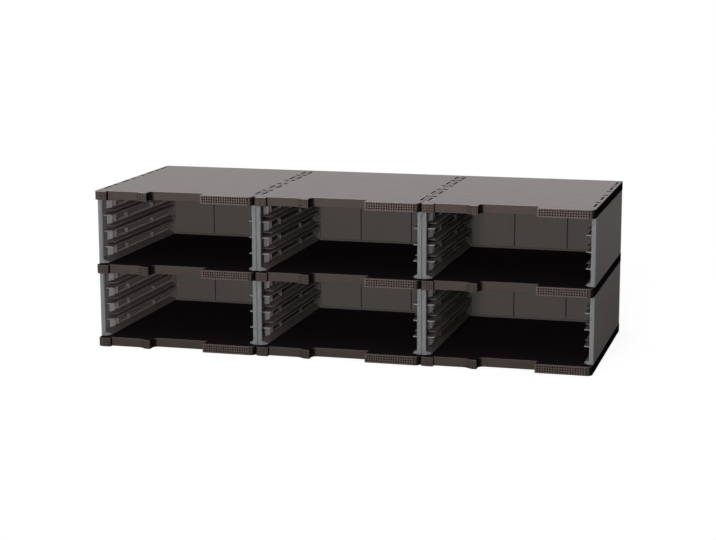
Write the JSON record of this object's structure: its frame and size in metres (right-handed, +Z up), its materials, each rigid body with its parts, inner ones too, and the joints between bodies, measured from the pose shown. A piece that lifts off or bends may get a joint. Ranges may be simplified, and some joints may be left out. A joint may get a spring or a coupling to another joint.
{
  "type": "desktop sorting unit",
  "caption": "Low, wide desktop sorting unit of plug-together plastic plates, grooved side walls and back panels, with open compartments for paper, trays or small parts.",
  "frame": {"origin": "centre of the footprint, on the surface that the unit stands on", "axes": "+X to the right along the three columns as seen from the open front, +Y to the back, +Z up"},
  "size_m": [0.82, 0.331, 0.2595],
  "materials": {
    "plate": "near-black moulded plastic, satin, with a dotted grip texture on the front blocks",
    "wall": "dark grey moulded plastic, fine matt grain",
    "back_panel": "dark grey moulded plastic, fine matt grain"
  },
  "bodies": {
    "root": {"left_column_bottom_plate": "plate", "left_column_middle_plate": "plate", "left_column_top_plate": "plate", "left_column_lower_left_wall": "wall", "left_column_lower_right_wall": "wall", "left_column_lower_back_panel": "back_panel", "left_column_upper_left_wall": "wall", "left_column_upper_right_wall": "wall", "left_column_upper_back_panel": "back_panel", "middle_column_bottom_plate": "plate", "middle_column_middle_plate": "plate", "middle_column_top_plate": "plate", "middle_column_lower_left_wall": "wall", "middle_column_lower_right_wall": "wall", "middle_column_lower_back_panel": "back_panel", "middle_column_upper_left_wall": "wall", "middle_column_upper_right_wall": "wall", "middle_column_upper_back_panel": "back_panel", "right_column_bottom_plate": "plate", "right_column_middle_plate": "plate", "right_column_top_plate": "plate", "right_column_lower_left_wall": "wall", "right_column_lower_right_wall": "wall", "right_column_lower_back_panel": "back_panel", "right_column_upper_left_wall": "wall", "right_column_upper_right_wall": "wall", "right_column_upper_back_panel": "back_panel"}
  },
  "joints": []
}
